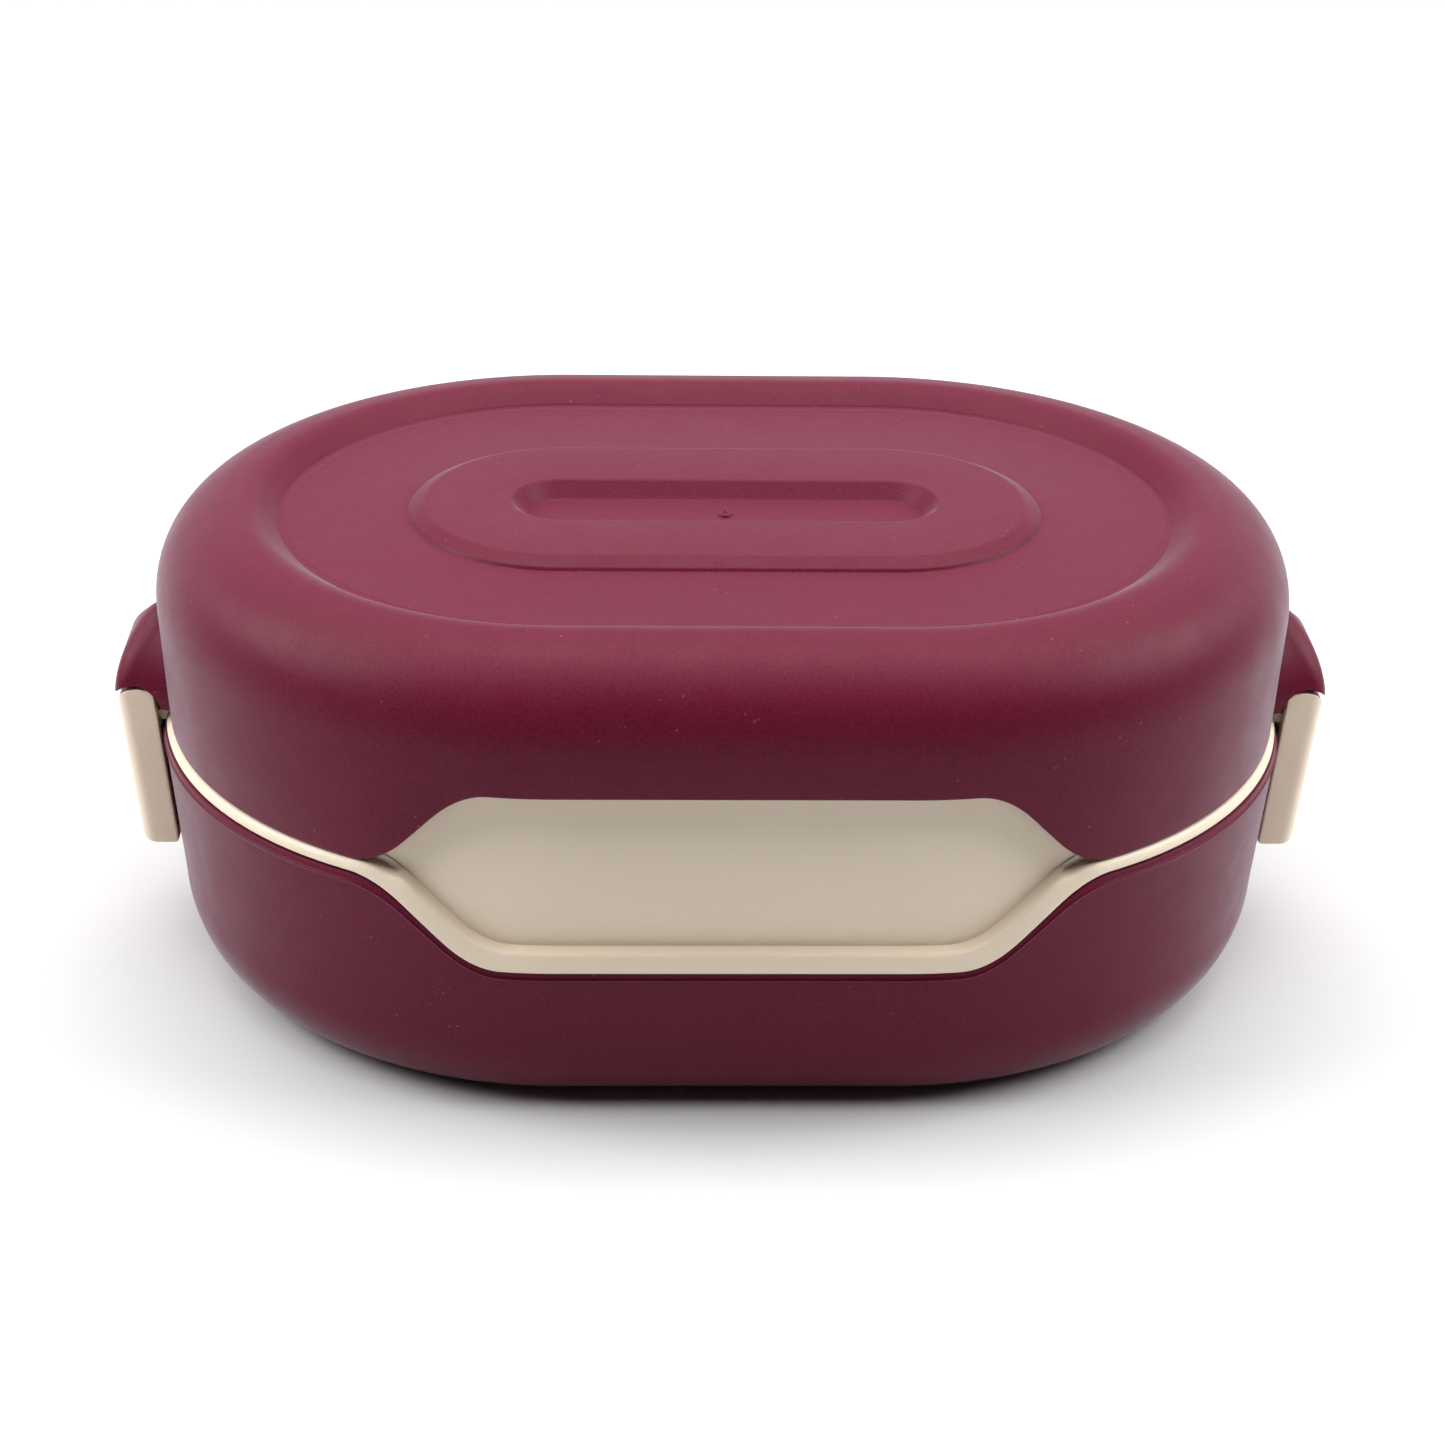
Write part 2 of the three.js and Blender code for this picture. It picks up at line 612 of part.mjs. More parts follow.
const mirrored = (solid) => solid.mirror([1, 0, 0]);

const base = named('base_group', [
  piece('outer_bowl', outerBowl(), burgundy()),
  piece('food_container', foodContainer(), beige()),
  piece('divider_cross', crossDivider(), beige()),
  piece('divider_end', endDivider(), beige()),
]);

const lid = named('lid_group', [
  piece('lid_shell', lidShell(), burgundy()),
  piece('lid_plate', lidPlate(), beige()),
  piece('lid_seal', lidSeal(), silicone()),
  piece('latch_pin_right', latchPin(), steel()),
  piece('latch_pin_left', mirrored(latchPin()), steel()),
]);

const latches = named('latch_group', [
  piece('latch_right', latch(), beige()),
  piece('latch_left', mirrored(latch()), beige()),
]);

const lunchBox = named('bento_lunch_box', [base, lid, latches]);

export default lunchBox;
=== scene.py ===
import json
import math

import bmesh
import bpy
import numpy as np
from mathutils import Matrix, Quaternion, Vector


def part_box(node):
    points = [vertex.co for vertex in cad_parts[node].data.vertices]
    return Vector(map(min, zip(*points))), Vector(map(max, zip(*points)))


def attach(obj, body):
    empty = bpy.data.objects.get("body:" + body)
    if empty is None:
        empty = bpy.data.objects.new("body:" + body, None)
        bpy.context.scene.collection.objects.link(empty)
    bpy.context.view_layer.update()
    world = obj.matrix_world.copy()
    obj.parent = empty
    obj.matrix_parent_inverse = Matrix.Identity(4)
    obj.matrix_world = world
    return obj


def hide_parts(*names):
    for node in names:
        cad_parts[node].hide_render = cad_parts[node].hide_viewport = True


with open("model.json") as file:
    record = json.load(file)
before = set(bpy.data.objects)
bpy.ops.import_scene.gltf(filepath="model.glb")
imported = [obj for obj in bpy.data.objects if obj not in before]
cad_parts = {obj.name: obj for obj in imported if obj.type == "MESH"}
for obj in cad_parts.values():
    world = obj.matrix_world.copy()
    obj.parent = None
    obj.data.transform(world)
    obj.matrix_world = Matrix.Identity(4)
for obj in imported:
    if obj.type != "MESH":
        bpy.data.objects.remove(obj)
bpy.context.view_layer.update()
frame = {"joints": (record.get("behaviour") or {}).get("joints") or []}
MM = 0.001

# ---- sizes in millimetres: boxes from the frame, the rest as in part.mjs or from the photo ----


def box_mm(node):
    low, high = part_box(node)
    return [c / MM for c in low], [c / MM for c in high]


_, BOWL_HI = box_mm("outer_bowl")
CAN_LO, CAN_HI = box_mm("food_container")
_, LID_HI = box_mm("lid_shell")
PLATE_LO, PLATE_HI = box_mm("lid_plate")
SEAL_LO, SEAL_HI = box_mm("lid_seal")
LATCH_LO, LATCH_HI = box_mm("latch_right")
PIN_LO, PIN_HI = box_mm("latch_pin_right")
CROSS_LO, CROSS_HI = box_mm("divider_cross")
END_LO, _ = box_mm("divider_end")

# Half the length of the straight spine, and the air left between touching pieces.
SPINE = 30.0
GAP = 0.3
PLAN_RADIUS = 75.0
# The plan is sampled closely where the seam drops, between these distances along the box.
SEAM_FROM, SEAM_TO = 31.0, 72.0
STRAIGHT_SAMPLES = 13
RIM_Z = BOWL_HI[2]
RIM_RADIUS = BOWL_HI[0] - SPINE
BOWL_WALL = 2.2
HEEL_RADIUS = RIM_RADIUS - 2.2
HEEL_Z = 17.0
HEEL_RUN = 13.0
BEAD_OUT = 0.3
BEAD_DROP = 1.3
BEAD_LOW, BEAD_HIGH = 1.7, 0.9
LIP_RADIUS = CAN_HI[1]
LIP_Z = RIM_Z + GAP
LIP_HEIGHT = 3.5
LIP_SHOW = 2.0
LIP_STEP = 71.75
LIP_LEAN = 0.9
LIP_SHELF = 2.2
LIP_OPEN_X = 60.0
LIP_OPEN_EASE = 5.0
CAN_RADIUS = LIP_RADIUS - 4.0
CAN_WALL = 2.0
CAN_INNER = CAN_RADIUS - CAN_WALL
CAN_TOP = CAN_HI[2]
CAN_BASE = CAN_LO[2]
CAN_FLOOR = CAN_BASE + CAN_WALL
CAN_HEEL = CAN_RADIUS - 1.5
CAN_HEEL_Z = HEEL_Z + 1
CAN_HEEL_RUN = 12.0
CAN_DRAFT_Z = 30.0
CATCH_X = CAN_HI[0]
CATCH_HALF = 9.2
TAB_ROOT_X = 80.0
CATCH_TOP = LIP_Z + LIP_SHOW - 0.1
LID_RADIUS = LID_HI[1]
LID_EDGE_RADIUS = LID_RADIUS - 1.0
LID_EDGE_Z = 48.0
TOP_Z = LID_HI[2]
SHOULDER_Z = TOP_Z - 17.0
CREST_RADIUS = 58.0
# Under 1 the shoulder is a little squarer than a plain ellipse.
FULLNESS = 2 / 2.1
PLATEAU_Z = TOP_Z - 3.2
ISLAND_Z = PLATEAU_Z + 1.8
SLOT_Z = TOP_Z - 4.5
# Distances from the spine where the lid recess and the island change level.
SLOT_FOOT, SLOT_EDGE = 6.4, 9.6
ISLAND_EDGE, ISLAND_FOOT = 25.6, 28.6
# The raised rim's inner side, as (inwards from the crest, height) points down to the plateau.
RIM_SLOPE = [(0.6, TOP_Z + 0.28), (5.1, PLATEAU_Z + 0.3), (5.5, PLATEAU_Z - 0.1),
             (6.4, PLATEAU_Z - 0.1), (7.2, PLATEAU_Z)]
LID_WALL = 2.1
# Under the lid, from the spine: foot and edge of the recess, and the outer end of the flat.
UNDER_FOOT, UNDER_EDGE, UNDER_CREST = 8.0, 10.8, 51.0
# Depth of the seam's drop and height of the lid edge's rise, and where each begins and ends.
DROP, DROP_FROM, DROP_TO, DROP_SHIFT = 15.2, 43.0, 59.5, 1.3
RISE, RISE_FROM, RISE_TO = 16.5, 46.0, 61.0
SWING = next(joint for joint in frame["joints"] if joint["name"] == "latch_right_swing")
PIVOT = [c / MM for c in SWING["pos_m"]]
PX, PZ = PIVOT[0], PIVOT[2]
LATCH_HALF = LATCH_HI[1]
TOP_IN, TOP_OUT = PX - 3.3, PX + 4.0
FOOT_IN, FOOT_OUT = PX - 6.1, PX + 0.8
FOOT_Z, CROWN_Z = LATCH_LO[2], PZ + 4.3
CORNER = 2.6
SKIN = 2.4
CHEEK = LATCH_HALF - 2.0
KNUCKLE = 2.4
LUG_HALF = 4.5
LUG_SLOT_DEPTH = 4.3
HOOD_ROOT_X = 103.0
HOOD_BURIED_X = 101.0
HOOD_BASE_Z = PZ + 3
HOOD_HEIGHT = 14.5
HOOD_FULLNESS = 1.8
HOOD_TAPER = 1.5
HOOD_FLARE = 2.5
HOOD_WALL = 2.0
CORNER_GROWTH = 2.4
RECESS_RADIUS = 5.0
HOOK_TIP_X = 105.95
HOOK_HALF = 8.4
HOOK_THICK = 2.0
PIN_RADIUS = (PIN_HI[0] - PIN_LO[0]) / 2
GUIDE_TOP = CROSS_HI[2] - 2
GUIDE_NEAR, GUIDE_FAR, GUIDE_DEPTH = 1.2, 2.6, 2.4
DIVIDER_HALF = 0.9
CROSS_X = CROSS_LO[0] + DIVIDER_HALF
PLATE_THICK = 1.6
PLATE_SPACER = 47.0
# Planes that cutting bodies start or end at, clear of the piece they cut.
INSIDE_X, OUTSIDE_X = 90.0, 120.0
ABOVE_LATCH_Z = 60.0
ABOVE_BOX_Z = 90.0


# ---- plan: every wall is an offset of one straight spine --------------------------------------
def soften(t, soft=5.0):
    """0 below zero and t above it, joined by a parabola from -soft to soft."""
    return 0.0 if t <= -soft else t if t >= soft else (t + soft) ** 2 / (4 * soft)


def ramp(along, start, end):
    """1 in the middle of the long side, easing to 0 between start and end."""
    t = abs(along)
    return 1 - (soften(t - start) - soften(t - end)) / (end - start)


def drop(along, shift=0.0):
    return DROP * ramp(along, DROP_FROM + shift, DROP_TO + shift)


def low_drop(along):
    """The lower edge of the lip drops a little further out than its top edge."""
    return drop(along, DROP_SHIFT)


def rise(along):
    return RISE * ramp(along, RISE_FROM, RISE_TO)


def make_plan(seam_pitch, end_count):
    """Samples round the box, each a spine point's x and the outward direction there."""
    seam = np.arange(SEAM_FROM, SEAM_TO, seam_pitch)
    near = [math.acos((x - SPINE) / PLAN_RADIUS) for x in seam]
    far = list(np.linspace(near[-1], 0.0, end_count))[1:-1]
    quarter = [math.pi / 2, *near, *far]
    half = [-a for a in quarter] + [0.0] + quarter[::-1]
    straight = np.linspace(SPINE, -SPINE, STRAIGHT_SAMPLES)[1:-1]
    plan = [(SPINE, math.cos(a), math.sin(a)) for a in half]
    plan += [(x, 0.0, 1.0) for x in straight]
    plan += [(-SPINE, -math.cos(a), -math.sin(a)) for a in half]
    plan += [(x, 0.0, -1.0) for x in straight[::-1]]
    return plan


PLAN = make_plan(1.0, 30)
COARSE = make_plan(2.5, 14)


# ---- mesh helpers ----------------------------------------------------------------------------
def fillet(points, radii, steps=4):
    """Rounds the corners of an open outline; each corner gives steps + 1 points."""
    out = []
    last = len(points) - 1
    for i, (p, r) in enumerate(zip(points, radii)):
        if r <= 0 or i in (0, last):
            out.append(p)
            continue
        p, a, b = Vector(p), Vector(points[i - 1]), Vector(points[i + 1])
        da, db = (a - p), (b - p)
        la, lb = da.length, db.length
        da, db = da / la, db / lb
        half = math.acos(max(-1, min(1, da.dot(db)))) / 2
        reach = min(r / math.tan(half), 0.49 * la, 0.49 * lb)
        start, end = p + da * reach, p + db * reach
        for k in range(steps + 1):
            t = k / steps
            out.append(tuple(start * (1 - t) ** 2 + p * 2 * t * (1 - t) + end * t * t))
    return out


def closed_fillet(points, radii, steps=4):
    ring = [points[-1], *points, points[0]]
    return fillet(ring, [0, *radii, 0], steps)[1:-1]


def smooth_mesh(name, verts, faces, angle=35):
    mesh = bpy.data.meshes.new(name)
    mesh.from_pydata([Vector(v) * MM for v in verts], [], faces)
    mesh.validate()
    bm = bmesh.new()
    bm.from_mesh(mesh)
    bmesh.ops.remove_doubles(bm, verts=bm.verts, dist=1e-7)
    bmesh.ops.recalc_face_normals(bm, faces=bm.faces)
    bm.to_mesh(mesh)
    bm.free()
    obj = bpy.data.objects.new(name, mesh)
    bpy.context.scene.collection.objects.link(obj)
    return shade(obj, angle)


def shade(obj, angle=35):
    obj.data.shade_smooth()
    obj.data.set_sharp_from_angle(angle=math.radians(angle))
    return obj


def loft(name, column, plan=PLAN, capped=True, angle=35):
    """column(along) gives the wall's section at one plan sample as (radius, z) points."""
    verts, n = [], len(plan)
    for x, c, s in plan:
        for r, z in column(x + PLAN_RADIUS * c):
            verts.append((x + r * c, r * s, z))
    rows = len(verts) // n
    faces = []
    for i in range(n):
        j = (i + 1) % n
        for k in range(rows - 1 if capped else rows):
            m = (k + 1) % rows
            faces.append((i * rows + k, j * rows + k, j * rows + m, i * rows + m))
    if capped:
        start = next(i for i, p in enumerate(plan) if p[2] == 1.0)
        for k in (0, rows - 1):
            left = right = start
            while True:
                a, b = (left - 1) % n, (right + 1) % n
                quad = [left * rows + k, right * rows + k, b * rows + k, a * rows + k]
                quad = list(dict.fromkeys(quad))
                if len(quad) > 2:
                    faces.append(tuple(quad))
                left, right = a, b
                if (a - b) % n == 0:
                    break
    return smooth_mesh(name, verts, faces, angle)


def quarter_arc(r0, z0, r1, z1, steps):
    """From the flat (r0, z0) out and up to the upright (r1, z1)."""
    return [
        (r0 + (r1 - r0) * math.sin(t), z0 + (z1 - z0) * (1 - math.cos(t)))
        for t in np.linspace(0, math.pi / 2, steps + 1)
    ]


def prism(name, outline, y0, y1):
    """A side-view outline of (x, z) points, given width along Y."""
    n = len(outline)
    verts = [(x, y0, z) for x, z in outline] + [(x, y1, z) for x, z in outline]
    faces = [tuple(range(n)), tuple(range(2 * n - 1, n - 1, -1))]
    faces += [(i, n + i, n + (i + 1) % n, (i + 1) % n) for i in range(n)]
    return smooth_mesh(name, verts, faces)


def block(name, x0, x1, y0, y1, z0, z1):
    return prism(name, [(x0, z0), (x1, z0), (x1, z1), (x0, z1)], y0, y1)


def rod(name, x, z, radius, y0, y1, sides=48):
    ring = [(x + radius * math.cos(a), z + radius * math.sin(a))
            for a in np.linspace(0, 2 * math.pi, sides, endpoint=False)]
    return prism(name, ring, y0, y1)


def skin(name, rings):
    """Closed body over equal rings of points, flat at both ends."""
    n = len(rings[0])
    verts = [p for ring in rings for p in ring]
    faces = [tuple(range(n)), tuple(range(len(verts) - 1, len(verts) - n - 1, -1))]
    for k in range(len(rings) - 1):
        for i in range(n):
            j = (i + 1) % n
            faces.append((k * n + i, k * n + j, (k + 1) * n + j, (k + 1) * n + i))
    return smooth_mesh(name, verts, faces)


def combine(target, others, operation):
    for other in others:
        mod = target.modifiers.new("cut", "BOOLEAN")
        mod.operation = operation
        mod.solver = "EXACT"
        mod.object = other
        with bpy.context.temp_override(object=target, active_object=target):
            bpy.ops.object.modifier_apply(modifier=mod.name)
        bpy.data.objects.remove(other)
    return target


def mirrored(obj, name):
    mesh = obj.data.copy()
    bm = bmesh.new()
    bm.from_mesh(mesh)
    for v in bm.verts:
        v.co.x = -v.co.x
    bmesh.ops.reverse_faces(bm, faces=bm.faces)
    bm.to_mesh(mesh)
    bm.free()
    mesh.name = name
    other = bpy.data.objects.new(name, mesh)
    bpy.context.scene.collection.objects.link(other)
    return other


def add_bevel(obj, width, segments=3, angle=40):
    shade(obj)
    mod = obj.modifiers.new("edge", "BEVEL")
    mod.width = width * MM
    mod.segments = segments
    mod.limit_method = "ANGLE"
    mod.angle_limit = math.radians(angle)
    mod.harden_normals = True
    mod.use_clamp_overlap = True
    return obj


# ---- outer bowl ------------------------------------------------------------------------------
def bowl_radius(z):
    return HEEL_RADIUS + (z - HEEL_Z) * (RIM_RADIUS - HEEL_RADIUS) / (RIM_Z - HEEL_Z)


def bowl_column(along):
    rim = RIM_Z - low_drop(along)
    outer = bowl_radius(rim)
    inner_heel = HEEL_RADIUS - BOWL_WALL
    points = quarter_arc(HEEL_RADIUS - HEEL_RUN, 0, HEEL_RADIUS, HEEL_Z, 16)
    top = fillet(
        [points[-1], (outer, rim - BEAD_LOW), (outer + BEAD_OUT, rim - BEAD_DROP),
         (outer - 0.05, rim - BEAD_HIGH), (outer - 0.2, rim),
         (outer - BOWL_WALL, rim), (inner_heel, HEEL_Z)],
        [0, 0.2, 0.15, 0.2, 0.25, 0.4, 0],
    )[1:]
    inner = quarter_arc(inner_heel - HEEL_RUN, BOWL_WALL, inner_heel, HEEL_Z, 10)
    return points + top + inner[::-1][1:]


# ---- food container --------------------------------------------------------------------------
def can_column(along):
    lip = LIP_Z - drop(along)
    under = LIP_Z - low_drop(along)
    t = max(0.0, min(1.0, (LIP_OPEN_X - abs(along)) / LIP_OPEN_EASE))
    opened = t * t * (3 - 2 * t)
    shown = LIP_SHOW + (LIP_HEIGHT - LIP_SHOW) * opened
    step = LIP_STEP + (LIP_RADIUS - LIP_SHELF - LIP_STEP) * opened
    low = quarter_arc(CAN_HEEL - CAN_HEEL_RUN, CAN_BASE, CAN_HEEL, CAN_HEEL_Z, 8)
    outer = fillet(
        [(CAN_HEEL, CAN_HEEL_Z), (CAN_RADIUS, CAN_DRAFT_Z), (CAN_RADIUS, under),
         (LIP_RADIUS, under), (LIP_RADIUS - LIP_LEAN, lip + shown), (step, lip + shown),
         (LIP_STEP, lip + LIP_HEIGHT),
         (CAN_RADIUS, lip + LIP_HEIGHT), (CAN_RADIUS, CAN_TOP),
         (CAN_INNER, CAN_TOP), (CAN_INNER, CAN_DRAFT_Z), (CAN_HEEL - CAN_WALL, CAN_HEEL_Z)],
        [0, 0, 0.2, 0.6, 2.0, 0.1, 0.1, 0.25, 0.7, 0.7, 0, 0],
    )[1:]
    inner = quarter_arc(
        CAN_HEEL - CAN_WALL - CAN_HEEL_RUN, CAN_FLOOR, CAN_HEEL - CAN_WALL, CAN_HEEL_Z, 8)
    return low + outer + inner[::-1][1:]


def ring_cut(name, radius, low, high):
    return loft(name, lambda along: [(radius, low), (radius, high)], COARSE)


def catch_tabs():
    tabs = [block("tab", TAB_ROOT_X, CATCH_X, -CATCH_HALF, CATCH_HALF, LIP_Z, CATCH_TOP)]
    tabs.append(mirrored(tabs[0], "tab_left"))
    for tab in tabs:
        combine(tab, [ring_cut("core", CAN_RADIUS - 0.5, 0, ABOVE_BOX_Z)], "DIFFERENCE")
    return tabs


def divider_guides():
    spans = []
    for side in (-1, 1):
        a, b = sorted((side * GUIDE_NEAR, side * GUIDE_FAR))
        spans.append((CROSS_X + a, CROSS_X + b, -INSIDE_X, INSIDE_X))
        spans.append((TAB_ROOT_X, OUTSIDE_X, a, b))
    ribs = []
    for k, (x0, x1, y0, y1) in enumerate(spans):
        rib = block(f"rib{k}", x0, x1, y0, y1, CAN_DRAFT_Z, GUIDE_TOP)
        combine(rib, [ring_cut("bound", CAN_INNER + 0.8, 0, ABOVE_BOX_Z)], "INTERSECT")
        combine(rib, [ring_cut("core", CAN_INNER - GUIDE_DEPTH, 0, ABOVE_BOX_Z)], "DIFFERENCE")
        ribs.append(rib)
    return ribs


# ---- lid -------------------------------------------------------------------------------------
def lid_wall_radius(z):
    share = (z - LID_EDGE_Z) / (SHOULDER_Z - LID_EDGE_Z)
    return LID_EDGE_RADIUS + (LID_RADIUS - LID_EDGE_RADIUS) * share


def shoulder(wall, crest_z, steps):
    return [
        (CREST_RADIUS + (wall - CREST_RADIUS) * math.cos(t) ** FULLNESS,
         SHOULDER_Z + (crest_z - SHOULDER_Z) * math.sin(t) ** FULLNESS)
        for t in np.linspace(0, math.pi / 2, steps + 1)
    ]


def lid_column(along):
    edge = LID_EDGE_Z + rise(along)
    wall = lid_wall_radius(edge)
    under = PLATEAU_Z - LID_WALL
    inner = fillet(
        [(UNDER_FOOT, SLOT_Z - LID_WALL), (UNDER_EDGE, under), (UNDER_CREST, under)] +
        shoulder(LID_RADIUS - LID_WALL, TOP_Z - LID_WALL, 10)[::-1],
        [0, 0.5, 1.5] + [0] * 11,
    )
    skirt = fillet(
        [inner[-1], (wall - LID_WALL, edge), (wall, edge), (LID_RADIUS, SHOULDER_Z)],
        [0, 0.4, 0.55, 0],
    )[1:-1]
    crest = shoulder(LID_RADIUS, TOP_Z, 24)
    slope = [(CREST_RADIUS - inwards, z) for inwards, z in RIM_SLOPE]
    top = fillet(
        [crest[-5], *slope, (ISLAND_FOOT, PLATEAU_Z), (ISLAND_FOOT - 0.4, PLATEAU_Z + 0.6),
         (ISLAND_EDGE, ISLAND_Z), (SLOT_EDGE, ISLAND_Z), (SLOT_FOOT, SLOT_Z), (3.0, SLOT_Z)],
        [0, 6.5, 1.0, 0.5, 0.5, 0.8, 0.3, 0.9, 2.6, 1.0, 2.0, 0], 6,
    )[1:]
    return inner + skirt + crest[:-4] + top


def nose(name, inset, levels):
    """The hood's body: flat sections that shrink upwards until they die into the lid wall."""
    rings = []
    for z, t in [(PZ + 1, 0.0)] + [(None, t) for t in levels]:
        size = (1 - t ** HOOD_FULLNESS) ** (1 / HOOD_FULLNESS)
        reach = HOOD_ROOT_X + (LID_HI[0] - HOOD_ROOT_X - inset) * size
        half = (LATCH_HALF - inset) * size ** HOOD_TAPER
        corner = min(CORNER + CORNER_GROWTH * t, 0.85 * half)
        height = HOOD_BASE_Z + (HOOD_HEIGHT - inset) * t if z is None else z
        arc = [(reach - corner * (1 - math.cos(a)), half - corner * (1 - math.sin(a)))
               for a in np.linspace(0, math.pi / 2, 9)]
        side = [*arc, (HOOD_BURIED_X, half + HOOD_FLARE)]
        ring = [(x, -y, height) for x, y in side[::-1]] + [(x, y, height) for x, y in side]
        rings.append(ring)
    return skin(name, rings)


def hood():
    """The right hood: hollow, with a lug and eye in the middle that hold the latch's pin."""
    span = LATCH_HALF + 3.5
    fine = [*np.linspace(0, 0.9, 16), 0.94, 0.97, 0.985]
    body = nose("hood", 0, fine)
    combine(body, [
        nose("pocket", HOOD_WALL, [0, 0.2, 0.4, 0.6, 0.8, 0.95]),
        rod("recess", PX, PZ, RECESS_RADIUS, -span, span, 96),
    ], "DIFFERENCE")
    neck = block("neck", PX - KNUCKLE, PX + KNUCKLE, -LUG_HALF, LUG_HALF, PZ, PZ + 16)
    combine(neck, [nose("bound", 0, fine)], "INTERSECT")
    combine(body, [neck, rod("eye", PX, PZ, KNUCKLE, -LUG_HALF, LUG_HALF)], "UNION")
    return combine(body, [
        rod("bore", PX, PZ, PIN_RADIUS + GAP, -span, span),
        ring_cut("inside", LID_RADIUS - LID_WALL + 0.4, 40, 80),
    ], "DIFFERENCE")


def gate_mark():
    """The small round stub that moulding leaves on the slot floor."""
    rings = []
    for r, z in [(1.35, -0.2), (1.3, 0.1), (1.05, 0.42), (0.7, 0.5), (0.6, 0.34), (0.25, 0.3)]:
        rings.append([(r * math.cos(a), r * math.sin(a), SLOT_Z + z)
                      for a in np.linspace(0, 2 * math.pi, 32, endpoint=False)])
    return skin("gate_mark", rings)


# ---- lid plate, seal, dividers and pins ------------------------------------------------------
def plate_column(along):
    """A flat plate; one ring hangs from it inside the container, one stands up to the dome."""
    low, top = SEAL_HI[2] + GAP, SEAL_HI[2] + GAP + PLATE_THICK
    ring = CAN_INNER - 0.4
    spacer = PLATE_SPACER
    return fillet(
        [(spacer - 6, low), (ring - 1.5, low), (ring - 1.5, PLATE_LO[2]), (ring, PLATE_LO[2]),
         (ring, low), (PLATE_HI[1], low), (PLATE_HI[1], top), (spacer, top),
         (spacer, PLATE_HI[2]), (spacer - 1.5, PLATE_HI[2]), (spacer - 1.5, top),
         (spacer - 6, top)],
        [0, 0.4, 0.5, 0.5, 0.2, 0.5, 0.5, 0.4, 0.4, 0.4, 0.4, 0], 3)


def seal_column(along):
    low, high = SEAL_LO[2], SEAL_HI[2]
    inner, outer = CAN_INNER - 0.1, SEAL_HI[1]
    return closed_fillet(
        [(inner, low + 0.6), (inner + 0.6, low), (outer - 0.6, low), (outer, low + 0.6),
         (outer, high), (inner, high)],
        [0.2, 0.3, 0.3, 0.2, 0.5, 0.5], 3)


def can_inside(z):
    """The container's inner wall at height z, as a distance from the spine."""
    if z >= CAN_DRAFT_Z:
        return CAN_INNER
    heel = CAN_HEEL - CAN_WALL
    if z >= CAN_HEEL_Z:
        return heel + (CAN_INNER - heel) * (z - CAN_HEEL_Z) / (CAN_DRAFT_Z - CAN_HEEL_Z)
    fall = 1 - (z - CAN_FLOOR) / (CAN_HEEL_Z - CAN_FLOOR)
    return heel - CAN_HEEL_RUN * (1 - math.sqrt(max(0.0, 1 - fall * fall)))


def inside_profile():
    low = CAN_FLOOR + GAP
    heights = [low + (CAN_HEEL_Z - low) * t for t in (0, 0.05, 0.12, 0.22, 0.35, 0.5, 0.7, 1)]
    return [(can_inside(z - GAP) - 2 * GAP, z) for z in [*heights, CAN_DRAFT_Z, CROSS_HI[2]]]


def cross_divider():
    side = inside_profile()
    plate = prism("divider_cross_visual",
                  closed_fillet(side + [(-y, z) for y, z in side[::-1]],
                                [0] * (len(side) - 1) + [2, 2] + [0] * (len(side) - 1)),
                  -DIVIDER_HALF, DIVIDER_HALF)
    for v in plate.data.vertices:
        v.co = Vector((CROSS_X * MM + v.co.y, v.co.x, v.co.z))
    plate.data.flip_normals()
    ribs = [block("rib", CROSS_LO[0] + 1.3, CROSS_HI[0], y0, y1, CAN_FLOOR + GAP, GUIDE_TOP)
            for y0, y1 in ((-GUIDE_FAR, -GUIDE_NEAR), (GUIDE_NEAR, GUIDE_FAR))]
    return combine(plate, ribs, "UNION")


def end_divider():
    side = [(SPINE + r, z) for r, z in inside_profile()]
    outline = [(END_LO[0], CAN_FLOOR + GAP), *side, (END_LO[0], CROSS_HI[2])]
    return prism("divider_end_visual",
                 closed_fillet(outline, [0.6] + [0] * (len(side) - 1) + [2, 1]),
                 -DIVIDER_HALF, DIVIDER_HALF)


def latch_pin():
    return rod("latch_pin_right_visual", PX, PZ, PIN_RADIUS, PIN_LO[1], PIN_HI[1], 40)


# ---- latch -----------------------------------------------------------------------------------
# How far the latch's two faces lie from the box's middle at height z.
def latch_inner(z):
    return FOOT_IN + (TOP_IN - FOOT_IN) * (z - FOOT_Z) / (CROWN_Z - FOOT_Z)


def latch_outer(z):
    return FOOT_OUT + (TOP_OUT - FOOT_OUT) * (z - FOOT_Z) / (CROWN_Z - FOOT_Z)


